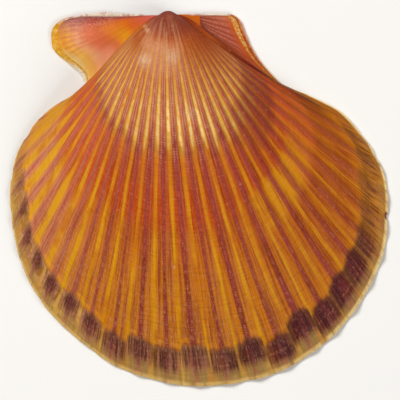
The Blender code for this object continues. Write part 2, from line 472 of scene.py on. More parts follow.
# Palette
CHALK = colour(226, 212, 180)
IVORY = colour(224, 204, 180)
PALE_ROSE = colour(212, 150, 138)
PALE_PEACH = colour(236, 166, 120)
ROSY_TAN = colour(186, 134, 112)
LINEN = colour(222, 206, 190)
WHITISH = colour(250, 240, 214)
SHELL_ROSE = colour(214, 172, 150)
SHELL_PEACH = colour(214, 160, 120)
CREAM = colour(210, 172, 100)
BRIGHT_CREAM = colour(240, 208, 138)
PALE_YELLOW = colour(204, 156, 66)
DEEP_YELLOW = colour(202, 138, 14)
AMBER = colour(226, 148, 22)
GOLD = colour(188, 108, 10)
HONEY = colour(236, 170, 68)
PALE_GOLD = colour(232, 184, 84)
LEMON = colour(210, 149, 25)
MELLOW = colour(190, 126, 40)
KHAKI = colour(150, 118, 58)
STRAW = colour(172, 132, 70)
GOLDEN_BROWN = colour(182, 116, 34)
DULL_TAN = colour(138, 96, 52)
OCHRE = colour(170, 104, 26)
OLIVE_BROWN = colour(122, 84, 20)
DARK_BROWN = colour(86, 48, 22)
ORANGE = colour(178, 92, 14)
BRIGHT_ORANGE = colour(216, 104, 20)
BROWN = colour(108, 56, 20)
TAN = colour(164, 92, 30)
BEIGE = colour(182, 112, 54)
FAWN = colour(176, 106, 56)
TERRACOTTA = colour(160, 82, 34)
PEACH = colour(232, 150, 110)
SALMON = colour(218, 112, 74)
ROSE_BEIGE = colour(206, 152, 112)
BLUSH = colour(182, 110, 74)
PUTTY = colour(184, 160, 136)
SHELL_PINK = colour(186, 136, 120)
DUSTY_PINK = colour(208, 124, 98)
ROSEWOOD = colour(150, 78, 52)
WARM_ROSE = colour(166, 86, 68)
PINK_TAN = colour(194, 124, 84)
CORAL = colour(206, 90, 44)
LIGHT_CORAL = colour(212, 104, 58)
WARM_ORANGE = colour(220, 116, 40)
COPPER = colour(174, 86, 44)
ROSY = colour(202, 86, 78)
DULL_RED = colour(138, 56, 42)
ROSE_RED = colour(172, 78, 56)
WARM_RED = colour(192, 84, 62)
DUSTY_ROSE = colour(172, 76, 66)
DUSKY_PINK = colour(184, 106, 104)
RED_BROWN = colour(154, 70, 50)
CHESTNUT = colour(124, 50, 32)
RUST = colour(154, 68, 16)
DEEP_RUST = colour(150, 54, 10)
BERRY = colour(146, 56, 50)
SIENNA = colour(150, 80, 34)
WARM_RUST = colour(188, 82, 36)
DUSTY_SALMON = colour(204, 120, 90)
RED_ORANGE = colour(170, 64, 12)
BRICK = colour(128, 44, 14)
MAROON = colour(112, 28, 22)
WINE_RED = colour(128, 44, 38)
PLUM = colour(72, 26, 27)
DARK_WINE = colour(96, 40, 42)
DULL_WINE = colour(128, 66, 58)
COCOA = colour(130, 78, 54)
DUSTY_TAN = colour(164, 114, 82)

# Spots: x, y and reach in millimetres, then how strong they are and, where they differ, their colour
# Pale spots on the beak and at its tip: painted highlights.
BEAK_HIGHLIGHTS = (
    (-11.6, 37.6, 0.9, 0.8, ROSE_BEIGE),
    (-12.2, 38.6, 0.8, 0.6, ROSE_BEIGE),
)
BEAK_TIP_HIGHLIGHT = (-6.6, 40.6, 1.2, 0.4, BLUSH)
OUTER_SPOTS = (
    (-5.6, -15.5, 0.5, 0.6, ROSE_BEIGE),
    (9.2, 3.1, 0.6, 0.5, BLUSH),
)
CHALKY_STREAKS = (
    (-12.2, 31.0, 2.2, 0.4),
    (-6.0, 31.5, 2.4, 0.3),
    (-2.0, 19.0, 1.8, 0.25),
)
MUSCLE_SCAR = (6.0, 8.0, 10.0)
LIGAMENT_PIT = (-8.5, 39.2, 2.6)

# Fine relief, growth lines and gloss of the outside. Heights are in millimetres.
BEAD_COUNT = 160.0
RIBLETS_PER_RIB = 8.0
REAR_EAR_ROWS = 9.0
FINE_RIBLET_HEIGHT = 0.05
BEAD_HEIGHT = 0.05
WRINKLE_HEIGHT = 0.14
GRAIN_HEIGHT = 0.05
DISC_LINE_STRENGTH = 0.8
EAR_LINE_STRENGTH = 0.35
DRY_GLOSS = 0.07

# Fine relief of the hollow and of the fringe, in millimetres
SCAR_DEPTH = 0.12
INSIDE_WRINKLE_HEIGHT = 0.05
INSIDE_GRAIN_HEIGHT = 0.02
FRINGE_GRAIN_HEIGHT = 0.05

# Sockets of a colour Mix node: share, first and second colour, and the colour that comes out
MIX_SOCKETS = (0, 6, 7)
MIX_RESULT = 2


class Finish:
    """A material built one node at a time. Most methods add a node and hand back what comes out of it."""

    def __init__(self, name):
        self.material = bpy.data.materials.new(name)
        self.material.use_nodes = True
        self.tree = self.material.node_tree
        self.shader = self.tree.nodes["Principled BSDF"]

    def node(self, kind, inputs, **settings):
        """A shader node of this kind, with its settings made and its inputs fed."""
        made = self.tree.nodes.new("ShaderNode" + kind)
        for setting, value in settings.items():
            setattr(made, setting, value)
        for socket, value in inputs.items():
            self.feed(made.inputs[socket], value)
        return made

    def feed(self, socket, value):
        """Links the socket to what another node gives, or sets a plain value on it."""
        if isinstance(value, bpy.types.NodeSocket):
            self.tree.links.new(value, socket)
        else:
            socket.default_value = value

    def paint(self, shade, roughness):
        """Gives the surface its colour and its roughness."""
        self.feed(self.shader.inputs["Base Color"], shade)
        self.feed(self.shader.inputs["Roughness"], roughness)

    def raise_by(self, height):
        """Gives the surface a fine relief of this height in millimetres."""
        bump = self.node("Bump", {"Height": height, "Distance": METRES_PER_MM})
        self.feed(self.shader.inputs["Normal"], bump.outputs["Normal"])

    def attribute(self, name):
        """A number that is stored on the mesh."""
        return self.node("Attribute", {}, attribute_name=name).outputs["Fac"]

    def place(self):
        """Where the surface is, in the object's own metres."""
        return self.node("TexCoord", {}).outputs["Object"]

    def math(self, operation, a, b=0.0, c=0.0):
        """One step of arithmetic."""
        return self.node("Math", {0: a, 1: b, 2: c}, operation=operation).outputs["Value"]

    def add(self, a, b):
        """The sum of both."""
        return self.math("ADD", a, b)

    def minus(self, a, b):
        """The first less the second."""
        return self.math("SUBTRACT", a, b)

    def times(self, a, *others):
        """All of them multiplied."""
        for other in others:
            a = self.math("MULTIPLY", a, other)
        return a

    def line(self, value, slope, lift):
        """The value times the slope, plus the lift."""
        return self.math("MULTIPLY_ADD", value, slope, lift)

    def sway(self, unevenness, width):
        """A noise turned into a shift to either side, this wide in all."""
        return self.line(unevenness, width, -0.5 * width)

    def away(self, value, middle):
        """How far the value is from a middle one, to either side."""
        return self.math("ABSOLUTE", self.add(value, -middle))

    def vector(self, x, y, z=0.0):
        """Three numbers as a place for a noise."""
        return self.node("CombineXYZ", {"X": x, "Y": y, "Z": z}).outputs["Vector"]

    def noise(self, where, scale, detail=2.0, roughness=0.5):
        """Soft noise about 0.5."""
        inputs = {"Vector": where, "Scale": scale, "Detail": detail, "Roughness": roughness}
        return self.node("TexNoise", inputs).outputs["Fac"]

    def chance(self, number):
        """A number between 0 and 1 that differs for each whole number."""
        return self.node("TexWhiteNoise", {"W": number}, noise_dimensions="1D").outputs["Value"]

    def rise(self, value, low, high):
        """0 below low and 1 above high, eased between. With low above high it falls instead."""
        inputs = {"Value": value, "From Min": low, "From Max": high}
        return self.node("MapRange", inputs, interpolation_type="SMOOTHSTEP").outputs["Result"]

    def band(self, value, low, high, soft):
        """1 between low and high, fading to 0 over soft on both sides."""
        up = self.rise(value, low - soft, low + soft)
        down = self.rise(value, high + soft, high - soft)
        return self.times(up, down)

    def waves(self, value, count):
        """A cosine wave from 0 to 1 with this many crests for each whole number."""
        turned = self.math("COSINE", self.times(value, 2.0 * math.pi * count))
        return self.line(turned, 0.5, 0.5)

    def ramp(self, value, stops):
        """Colours, or plain shares, at the given values, blended between."""
        made = self.node("ValToRGB", {"Fac": value})
        points = made.color_ramp.elements
        while len(points) < len(stops):
            points.new(1.0)
        for point, (position, shade) in zip(points, stops):
            point.position = position
            point.color = shade if isinstance(shade, tuple) else (shade, shade, shade, 1.0)
        return made.outputs["Color"]

    def blend(self, share, a, b, how="MIX"):
        """Colour a where the share is 0 and colour b where it is 1."""
        made = self.node("Mix", {}, data_type="RGBA", blend_type=how, clamp_factor=True)
        for socket, value in zip(MIX_SOCKETS, (share, a, b)):
            self.feed(made.inputs[socket], value)
        return made.outputs[MIX_RESULT]


class GrowthFinish(Finish):
    """A finish that follows the growth of the valve: the rib, the growth share and the ear at each place.

    Streaks, ribbons and threads run along the ribs, from broad to fine. Flecks are short, stretches long, and
    lines lie across the ribs. Patches, specks and grains run no way in particular, from coarse to fine.
    """

    def __init__(self, name):
        super().__init__(name)
        self.rib, self.growth, self.ear = (self.attribute(number) for number in GROWTH_NUMBERS)
        self.spot = self.place()
        where = self.node("SeparateXYZ", {"Vector": self.spot})
        self.x, self.y = where.outputs["X"], where.outputs["Y"]
        self.streaks = self.grown_noise(3.0, 5.0)
        self.ribbons = self.grown_noise(6.0, 4.0)
        self.threads = self.grown_noise(13.0, 9.0)
        self.flecks = self.grown_noise(3.0, 40.0)
        self.stretches = self.grown_noise(1.0, 9.0)
        self.lines = self.grown_noise(1.2, 150.0)
        self.patches = self.noise(self.spot, 90.0, 3.0)
        self.specks = self.noise(self.spot, 1700.0, 2.0)
        wander = self.sway(self.streaks, 0.14)
        self.from_crest = self.math("PINGPONG", self.add(self.rib, wander), 0.5)
        self.side = self.minus(self.math("FRACT", self.add(self.rib, 0.5)), 0.5)
        along_ear = self.vector(self.times(self.ear, 30.0), self.times(self.growth, 6.0))
        self.ear_threads = self.noise(along_ear, 1.0, 3.0)
        self.grains = self.noise(self.spot, 2600.0, 1.0)
        self.luck = self.chance(self.math("ROUND", self.rib))
        self.ragged_growth = self.add(self.growth, self.sway(self.streaks, 0.024))
        self.rib_growth = self.add(self.ragged_growth, self.sway(self.luck, 0.03))
        self.ragged_rib = self.add(self.rib, self.sway(self.patches, 3.0))

    def grown_noise(self, along_ribs, along_growth, detail=3.0):
        """Noise drawn out along the ribs or along the growth lines."""
        where = self.vector(self.times(self.rib, along_ribs), self.times(self.growth, along_growth), self.ear)
        return self.noise(where, 1.0, detail)

    def past_front_flank(self):
        """0 on the plain flank beside the front ear and 1 on the ribs behind it."""
        return self.rise(self.rib, 2.6, 4.5)

    def patch(self, ribs, growths, soft_ribs=1.0, soft_growth=0.02):
        """A soft-edged patch between two ribs and two growth shares."""
        across = self.band(self.ragged_rib, *ribs, soft_ribs)
        return self.times(across, self.band(self.ragged_growth, *growths, soft_growth))

    def from_place(self, x, y):
        """Distance in metres from a place seen from above, which is given in millimetres."""
        inputs = {0: self.vector(self.x, self.y), 1: (x * METRES_PER_MM, y * METRES_PER_MM, 0.0)}
        return self.node("VectorMath", inputs, operation="DISTANCE").outputs["Value"]

    def round_spot(self, x, y, radius):
        """A round patch with a clear, slightly uneven edge about a place seen from above, in millimetres."""
        radius *= METRES_PER_MM
        uneven = self.add(self.from_place(x, y), self.sway(self.patches, 0.6 * radius))
        return self.rise(uneven, 1.04 * radius, 0.98 * radius)

    def blob(self, x, y, reach):
        """A soft round spot about a place seen from above, in millimetres."""
        reach *= METRES_PER_MM
        ragged = self.add(self.from_place(x, y), self.sway(self.specks, 1.2 * reach))
        return self.rise(ragged, reach, 0.0)


def flank_shade(f, left):
    """Colour of the rib flanks: darker and lighter ribbons of each age side by side."""
    dark = [
        (0.04, BRICK),
        (0.11, CHESTNUT),
        (0.15, RUST),
        (0.2, TERRACOTTA),
        (0.36, TERRACOTTA),
        (0.41, BRICK),
        (0.56, RUST),
        (0.9, SIENNA),
    ]
    light = [
        (0.05, CHESTNUT),
        (0.11, RED_BROWN),
        (0.15, COPPER),
        (0.2, FAWN),
        (0.38, FAWN),
        (0.42, COPPER),
        (0.56, RED_ORANGE),
        (0.62, ORANGE),
        (0.74, GOLD),
    ]
    ribbons = f.rise(f.ribbons, 0.36, 0.56)
    shade = f.blend(ribbons, f.ramp(f.ragged_growth, dark), f.ramp(f.ragged_growth, light))
    shade = flank_patches(f, shade)
    return old_flanks(f, shade, left)


def flank_patches(f, shade):
    """Paler, redder and yellower patches that lie across several ribs; the pale one high on the middle ribs
    is a painted highlight.
    """
    # Pale patch high on the middle ribs: painted highlight.
    shade = f.blend(f.times(f.patch((9.0, 17.0), (0.15, 0.23), 1.5), 0.5), shade, ROSE_BEIGE)
    shade = f.blend(f.times(f.patch((8.5, 17.0), (0.5, 0.6), 1.0, 0.01), 0.6), shade, RED_ORANGE)
    shade = f.blend(f.times(f.patch((2.0, 9.0), (0.43, 0.68), 1.5), 0.5), shade, CORAL)
    glowing = f.times(f.patch((19.0, 24.5), (0.56, 0.665), 1.2, 0.02), f.rise(f.streaks, 0.3, 0.55))
    return f.blend(f.times(glowing, 0.75), shade, DEEP_YELLOW)


def old_flanks(f, shade, left):
    """The flanks towards the margin: salmon and lemon at the front, rusty with golden ends at the rear."""
    older = f.rise(f.ragged_growth, 0.64, 0.71)
    shade = f.blend(f.times(left, older), shade, f.blend(f.rise(f.ribbons, 0.4, 0.6), BLUSH, DUSTY_SALMON))
    lemon = f.times(left, older, f.rise(f.stretches, 0.3, 0.6), f.rise(f.from_crest, 0.12, 0.34))
    shade = f.blend(f.times(lemon, 0.65), shade, LEMON)
    rusty = f.times(f.rise(f.ragged_rib, 17.0, 23.0), older, f.rise(f.growth, 0.9, 0.84))
    shade = f.blend(f.times(rusty, 0.8), shade, RUST)
    reddish = f.times(f.rise(f.ragged_rib, 22.0, 25.0), f.band(f.ragged_growth, 0.5, 0.68, 0.02))
    shade = f.blend(f.times(reddish, 0.65), shade, WARM_RUST)
    golden = f.times(f.rise(f.rib, 23.0, 25.5), f.band(f.ragged_growth, 0.84, 0.9, 0.02))
    return f.blend(f.times(golden, 0.5), shade, GOLD)


def fine_threads(f, shade, left):
    """Fine copper, light and dark threads down the flanks, clearer towards the margin."""
    copper = f.times(
        f.band(f.side, 0.17, 0.25, 0.04),
        f.band(f.growth, 0.42, 0.75, 0.03),
        f.rise(f.stretches, 0.35, 0.6),
    )
    shade = f.blend(f.times(copper, 0.7), shade, COPPER)
    calm = f.line(f.times(left, f.rise(f.growth, 0.55, 0.7)), -0.55, 1.0)
    light = f.times(f.rise(f.threads, 0.5, 0.66), f.rise(f.growth, 0.45, 0.8), calm)
    shade = f.blend(f.times(light, 0.65), shade, f.blend(f.rise(f.rib, 13.0, 20.0), BEIGE, GOLD))
    dark = f.times(
        f.rise(f.threads, 0.5, 0.34),
        f.rise(f.growth, 0.3, 0.45),
        f.line(f.rise(f.growth, 0.6, 0.8), -0.2, 0.6),
    )
    return f.blend(f.times(dark, calm), shade, BRICK)


def groove_lines(f, shade, left, right):
    """Yellow lines in the grooves, with cream cores on the young part."""
    half = groove_half_width(f, left)
    from_groove = f.minus(0.5, f.from_crest)
    inside = f.rise(f.minus(from_groove, half), 0.1, -0.07)
    inside = f.times(inside, f.rise(f.growth, 0.05, 0.24), f.line(f.stretches, 0.8, 0.5))
    inside = f.times(inside, f.past_front_flank(), f.line(f.rise(f.rib, 22.0, 26.5), -0.75, 1.0))
    young = young_groove_shade(f, from_groove)
    old = old_groove_shade(f, left, right)
    changed = f.rise(f.rib_growth, 0.4, 0.445)
    groove = f.blend(changed, young, f.blend(f.rise(f.growth, 0.42, 0.62), GOLD, old))
    return f.blend(inside, shade, groove)


def groove_half_width(f, left):
    """Half the width of a groove line, as a share of a rib: broad on the young part, thin on the old one."""
    half_widths = [(0.1, 0.06), (0.2, 0.13), (0.3, 0.21), (0.4, 0.22), (0.44, 0.12), (0.6, 0.08), (0.9, 0.05)]
    half = f.add(f.ramp(f.growth, half_widths), f.sway(f.threads, 0.2))
    return f.add(half, f.times(left, f.rise(f.growth, 0.5, 0.7), 0.18))


def young_groove_shade(f, from_groove):
    """Gold to tan with yellow to cream cores, brightest in the middle just before the colour change; their
    cream flecks are painted glints.
    """
    brightest = f.patch((11.5, 19.5), (0.29, 0.39), 1.5)
    bright = f.add(f.flecks, f.add(f.times(f.rise(f.patches, 0.35, 0.6), 0.25), f.times(brightest, 0.2)))
    core = f.times(f.rise(from_groove, 0.2, 0.06), f.rise(bright, 0.35, 0.6), f.rise(f.growth, 0.14, 0.3))
    core = f.times(core, f.rise(f.rib_growth, 0.435, 0.385), f.line(f.rise(f.rib, 22.0, 26.0), -0.5, 1.0))
    side = f.blend(f.rise(f.stretches, 0.35, 0.6), GOLD, MELLOW)
    palest = f.blend(f.times(f.patch((13.5, 18.5), (0.3, 0.38), 1.0), 0.6), CREAM, BRIGHT_CREAM)
    # Cream flecks in the groove cores: painted glints.
    glint = f.rise(f.add(f.flecks, f.times(brightest, 0.15)), 0.5, 0.7)
    return f.blend(core, side, f.blend(glint, PALE_YELLOW, palest))


def old_groove_shade(f, left, right):
    """Gold, with brighter stretches that are lemon at the front and weaker at the rear."""
    stretches = f.times(f.rise(f.stretches, 0.32, 0.54), f.line(right, -0.5, 1.0))
    lemon = f.times(left, f.rise(f.growth, 0.62, 0.72))
    return f.blend(stretches, GOLD, f.blend(lemon, DEEP_YELLOW, LEMON))


def crest_lines(f, shade, right):
    """Dark lines on the rib crests, pink with thin brown sides on the young part, with small pale beads."""
    inside = crest_share(f, right)
    crest = crest_shade(f, right)
    core = f.times(f.rise(f.from_crest, 0.07, 0.0), f.rise(f.flecks, 0.4, 0.6), f.rise(f.growth, 0.35, 0.5))
    crest = f.blend(f.times(core, 0.5), crest, RED_BROWN)
    shade = f.blend(inside, shade, crest)
    shade = young_crest_trim(f, shade)
    return crest_beads(f, shade)


def crest_share(f, right):
    """Where the crest lines lie: broad on the young part, thinner on the old one, none beside the ears."""
    half = f.ramp(f.growth, [(0.15, 0.16), (0.38, 0.18), (0.45, 0.115), (0.7, 0.09), (1.0, 0.08)])
    half = f.add(half, f.add(f.sway(f.threads, 0.16), f.sway(f.luck, 0.06)))
    half = f.add(half, f.times(right, f.rise(f.growth, 0.42, 0.6), 0.075))
    inside = f.rise(f.minus(f.from_crest, half), 0.06, -0.06)
    inside = f.times(inside, f.rise(f.growth, 0.12, 0.25), f.line(f.stretches, 0.5, 0.65))
    inside = f.times(inside, f.past_front_flank(), f.rise(f.rib, 28.5, 26.5))
    faint = f.times(f.rise(f.rib, 20.5, 24.5), f.rise(f.growth, 0.48, 0.56))
    return f.times(inside, f.line(faint, -0.6, 1.0))


def crest_shade(f, right):
    """Colour of the crest lines: rosy when young, then pink at the front, crimson and at last maroon."""
    pale = f.rise(f.threads, 0.4, 0.6)
    young = f.blend(pale, f.blend(right, WARM_ROSE, RED_BROWN), f.blend(right, PINK_TAN, COPPER))
    fresh = f.rise(f.growth, 0.75, 0.55)
    old = f.blend(f.rise(f.stretches, 0.36, 0.58), MAROON, f.blend(right, WINE_RED, BERRY))
    old = f.blend(f.times(fresh, f.line(right, -0.5, 0.7)), old, BERRY)
    pink = f.blend(pale, DUSTY_ROSE, f.blend(f.rise(f.growth, 0.6, 0.75), BLUSH, PINK_TAN))
    old = f.blend(f.times(f.rise(f.rib, 13.0, 6.0), f.rise(f.growth, 0.36, 0.5)), old, pink)
    turning = f.add(f.rib_growth, f.line(f.rise(f.rib, 7.0, 14.0), 0.02, 0.0))
    turning = f.add(turning, f.sway(f.threads, 0.08))
    return f.blend(f.rise(turning, 0.355, 0.42), young, old)


def young_crest_trim(f, shade):
    """On the young part, thin brown sides to each crest line, two pale lines on it and dull red between."""
    rims = f.times(f.band(f.from_crest, 0.19, 0.24, 0.03), f.band(f.growth, 0.16, 0.42, 0.03))
    shade = f.blend(f.times(rims, f.rise(f.threads, 0.35, 0.55), 0.7), shade, RUST)
    pale_pair = f.times(f.band(f.from_crest, 0.09, 0.13, 0.03), f.band(f.growth, 0.2, 0.43, 0.03))
    pale_pair = f.times(pale_pair, f.rise(f.flecks, 0.3, 0.55), f.line(f.rise(f.rib, 17.0, 23.0), -0.4, 0.5))
    shade = f.blend(pale_pair, shade, PALE_ROSE)
    between = f.times(f.rise(f.from_crest, 0.08, 0.04), f.band(f.growth, 0.22, 0.43, 0.03))
    return f.blend(f.times(between, f.rise(f.stretches, 0.3, 0.55), 0.7), shade, DULL_RED)


def crest_beads(f, shade):
    """A row of small pale beads along each crest, narrower on the old part; their pale colour is partly
    painted highlight.
    """
    half = f.line(f.rise(f.growth, 0.48, 0.4), 0.2, 0.07)
    rows = f.rise(f.waves(f.growth, BEAD_COUNT), 0.3, 0.9)
    beads = f.times(rows, f.rise(f.minus(f.from_crest, half), 0.0, -0.05))
    amounts = [(0.15, 0.0), (0.26, 0.4), (0.38, 0.35), (0.44, 0.12), (0.65, 0.3), (0.85, 0.65)]
    amount = f.ramp(f.growth, amounts)
    beads = f.times(beads, f.rise(f.flecks, 0.46, 0.6), amount)
    # Pale beads: the scales' own colour, partly painted highlights on them.
    return f.blend(beads, shade, f.blend(f.rise(f.growth, 0.5, 0.4), BLUSH, ROSE_BEIGE))


def margin_band(f, shade, left, right):
    """The band past the last growth ledge, dark plum on a brownish ground, and the pale edge outside it."""
    bowed = f.add(f.rib_growth, f.add(f.line(f.from_crest, -0.03, 0.005), f.times(right, 0.022)))
    past = f.times(f.rise(bowed, 0.893, 0.908), f.rise(f.ragged_rib, 2.5, 5.0))
    far = f.rise(f.rib, 21.5, 24.5)
    ground = band_ground(f, left, far)
    shade = f.blend(f.times(past, 0.85), shade, ground)
    shade = groove_in_band(f, shade, past)
    shade = plum_patches(f, shade, bowed, left, far)
    shade = pale_edge(f, shade, right)
    shade = crest_in_band(f, shade, right)
    shade = band_growth_lines(f, shade, bowed, left)
    return worn_lip(f, shade, right)


def band_ground(f, left, far):
    """What shows between the plum: browns and tans, mottled with rose beige at the front."""
    ground = f.blend(
        f.rise(f.threads, 0.4, 0.6),
        f.blend(f.times(left, 0.5), OLIVE_BROWN, GOLDEN_BROWN),
        f.blend(far, DUSTY_TAN, FAWN),
    )
    cocoa = f.times(f.rise(f.ribbons, 0.4, 0.56), f.line(f.add(far, left), -0.7, 0.7))
    ground = f.blend(cocoa, ground, COCOA)
    dark = f.times(f.rise(f.rib, 15.0, 18.0), f.rise(f.rib_growth, 0.97, 0.94), 0.9)
    ground = f.blend(dark, ground, DARK_BROWN)
    streaks = f.rise(f.threads, 0.33, 0.53)
    streaky = f.blend(streaks, BROWN, f.blend(f.rise(f.rib_growth, 0.91, 0.945), OCHRE, GOLDEN_BROWN))
    ground = f.blend(f.times(far, 0.85), ground, streaky)
    mottled = f.times(f.rise(f.rib, 13.0, 9.0), f.rise(f.flecks, 0.5, 0.62), f.rise(f.from_crest, 0.08, 0.22))
    return f.blend(f.times(mottled, 0.45), ground, ROSE_BEIGE)


def groove_in_band(f, shade, past):
    """The thin pale groove lines that run on through the band, but not at the rear."""
    line = f.times(past, f.rise(f.add(f.from_crest, f.sway(f.threads, 0.06)), 0.42, 0.47))
    line = f.times(
        line,
        f.rise(f.stretches, 0.35, 0.55),
        f.rise(f.rib, 19.0, 15.0),
        f.rise(f.rib, 5.0, 10.0),
        0.8,
    )
    return f.blend(line, shade, f.blend(f.rise(f.flecks, 0.4, 0.6), MELLOW, PALE_YELLOW))


def plum_patches(f, shade, bowed, left, far):
    """The plum of the band, with frayed ends and lighter threads in it."""
    frayed = f.add(bowed, f.sway(f.threads, 0.045))
    towards_rim = f.add(f.rib_growth, f.add(f.times(far, 0.025), f.sway(f.threads, 0.04)))
    ends = f.rise(towards_rim, 0.985, 0.945)
    dark = f.times(plum_share(f, left, far), f.rise(frayed, 0.886, 0.916), ends)
    plum = f.blend(f.times(f.rise(f.threads, 0.48, 0.66), 0.6), PLUM, WINE_RED)
    return f.blend(dark, shade, plum)


def plum_share(f, left, far):
    """How much plum the band has: round spots at the front, streaks in the middle, patches at the rear."""
    wander = f.sway(f.threads, 0.44)
    round_ends = f.times(f.away(f.rib_growth, 0.926), 6.0)
    round_ends = f.add(round_ends, f.sway(f.threads, 0.2))
    spots = f.times(f.rise(f.add(f.from_crest, round_ends), 0.44, 0.18), f.line(left, -0.3, 0.95))
    streaks = f.times(
        f.rise(f.add(f.from_crest, wander), 0.62, 0.25),
        f.line(f.rise(f.threads, 0.6, 0.4), 0.35, 0.5),
    )
    patches = f.rise(f.add(f.from_crest, wander), 0.62, 0.24)
    share = f.blend(f.rise(f.rib, 13.0, 9.0), streaks, spots)
    share = f.blend(f.rise(f.rib, 16.0, 19.0), share, patches)
    return f.times(share, f.rise(f.ragged_rib, 3.5, 7.0), f.line(far, -0.75, 1.0))


def pale_edge(f, shade, right):
    """The edge beyond the band: khaki, tan and yellow streaks, with cocoa ones past each crest."""
    khaki = f.blend(f.rise(f.flecks, 0.4, 0.6), KHAKI, f.blend(f.rise(f.rib, 13.0, 8.0), KHAKI, PALE_YELLOW))
    pale = f.blend(f.rise(f.ribbons, 0.35, 0.62), khaki, f.blend(right, STRAW, DULL_TAN))
    golden = f.times(f.rise(f.from_crest, 0.25, 0.42), f.rise(f.ribbons, 0.35, 0.6), 0.75)
    pale = f.blend(golden, pale, f.blend(f.rise(f.stretches, 0.45, 0.6), MELLOW, PALE_YELLOW))
    past_crest = f.times(f.rise(f.from_crest, 0.3, 0.05), f.rise(f.ribbons, 0.4, 0.6), 0.6)
    pale = f.blend(past_crest, pale, f.blend(f.rise(f.threads, 0.45, 0.65), COCOA, DUSTY_TAN))
    pale = f.blend(f.times(f.rise(f.rib, 22.0, 24.5), f.rise(f.threads, 0.6, 0.4), 0.75), pale, GOLDEN_BROWN)
    edge = f.times(f.rise(f.rib_growth, 0.95, 0.985), f.rise(f.ragged_rib, 2.0, 4.0), 0.9)
    return f.blend(edge, shade, pale)


def crest_in_band(f, shade, right):
    """The thin crest line that runs on through the band, paler towards the rim."""
    line = f.times(f.rise(f.from_crest, 0.1, 0.05), f.rise(f.growth, 0.9, 0.91), f.rise(f.flecks, 0.35, 0.55))
    line = f.times(line, f.line(right, -0.3, 0.65))
    return f.blend(line, shade, f.ramp(f.growth, [(0.91, DARK_WINE), (0.96, DULL_WINE), (0.99, BLUSH)]))


def band_growth_lines(f, shade, bowed, left):
    """A thin pale growth line across the band, and an amber strip just inside the ledge before it."""
    cross = f.times(f.band(f.ragged_growth, 0.944, 0.948, 0.003), f.rise(f.threads, 0.4, 0.6), 0.4)
    shade = f.blend(cross, shade, BLUSH)
    before_ledge = f.band(bowed, 0.88, 0.893, 0.004)
    strip = f.times(before_ledge, f.rise(f.streaks, 0.3, 0.55), f.rise(f.rib, 22.0, 12.0))
    strip = f.times(strip, f.rise(f.from_crest, 0.1, 0.2), f.line(left, 0.3, 0.35))
    return f.blend(strip, shade, AMBER)


def worn_lip(f, shade, right):
    """The rim itself, worn to cream in stretches, with painted shade in its chip."""
    lip = f.times(f.rise(f.growth, 0.985, 0.995), f.rise(f.streaks, 0.3, 0.55), 0.85)
    shade = f.blend(lip, shade, f.blend(right, CREAM, BRIGHT_CREAM))
    # Maroon in the chip: painted shade.
    at_chip = f.rise(f.away(f.rib, CHIP_RIB), CHIP_REACH, 0.5 * CHIP_REACH)
    chip = f.times(at_chip, f.rise(f.growth, 0.984, 0.992))
    return f.blend(f.times(chip, 0.9), shade, MAROON)


def painted_glint_dashes(f, shade):
    """Short pale dashes along the ribs of the older part: painted glints on its fine scales."""
    dashes = f.rise(f.grown_noise(24.0, 70.0, 2.0), 0.52, 0.66)
    amount = f.ramp(f.growth, [(0.4, 0.1), (0.6, 0.3), (0.85, 0.28), (0.9, 0.36), (0.965, 0.18)])
    amount = f.times(amount, f.past_front_flank(), f.line(f.rise(f.rib, 14.0, 21.0), -0.7, 1.0))
    amount = f.times(amount, f.rise(f.from_crest, 0.46, 0.34))
    colours = f.ramp(f.growth, [(0.65, SALMON), (0.85, ROSE_BEIGE), (0.89, ROSY_TAN)])
    # Pale pink dashes: painted glints.
    return f.blend(f.times(dashes, amount), shade, colours)


def flank_sides(f, shade):
    """The plain steep sides of the disc beside the ears, at the front and at the rear, the rear one partly
    with painted shade.
    """
    front = [(0.1, RED_BROWN), (0.18, ORANGE), (0.3, BEIGE), (0.6, BEIGE), (0.74, DEEP_YELLOW)]
    by_front_ear = f.times(f.rise(f.rib, 3.6, 2.4), f.rise(f.growth, 0.95, 0.85))
    shade = f.blend(by_front_ear, shade, f.ramp(f.growth, front))
    low = f.times(f.rise(f.rib, 5.0, 3.0), f.rise(f.growth, 0.62, 0.72), f.rise(f.growth, 0.98, 0.9))
    shade = f.blend(f.times(low, 0.7), shade, DEEP_YELLOW)
    # Rear side: maroon and brown are partly painted shade on the flank facing away from the light, and cream
    # at the rim is partly a painted highlight.
    rear = [
        (0.1, BRICK),
        (0.3, RUST),
        (0.5, BRICK),
        (0.7, MAROON),
        (0.8, BROWN),
        (0.9, GOLD),
        (0.975, TAN),
        (0.99, BRIGHT_CREAM),
    ]
    return f.blend(f.rise(f.rib, 27.0, 28.4), shade, f.ramp(f.growth, rear))


def spots(f, shade, places):
    """Small soft spots, each with its x, y and reach in millimetres, its strength and its colour."""
    for x, y, reach, strength, tint in places:
        shade = f.blend(f.times(f.blob(x, y, reach), strength), shade, tint)
    return shade


def worn_spots_and_beak_highlights(f, shade):
    """Pale spots about the beak and at its tip, which are painted highlights, chalky streaks about the beak,
    and two spots further out.
    """
    # Pale spots on the beak: painted highlights.
    shade = spots(f, shade, BEAK_HIGHLIGHTS)
    worn = f.rise(f.threads, 0.35, 0.6)
    for x, y, reach, strength in CHALKY_STREAKS:
        shade = f.blend(f.times(f.blob(x, y, reach), worn, strength), shade, CHALK)
    shade = spots(f, shade, OUTER_SPOTS)
    fine = f.times(f.patch((5.0, 18.0), (0.08, 0.17), 1.5), f.rise(f.stretches, 0.42, 0.6), 0.3)
    shade = f.blend(fine, shade, ROSE_BEIGE)
    # Pale spot at the tip of the beak: painted highlight.
    return spots(f, shade, [BEAK_TIP_HIGHLIGHT])


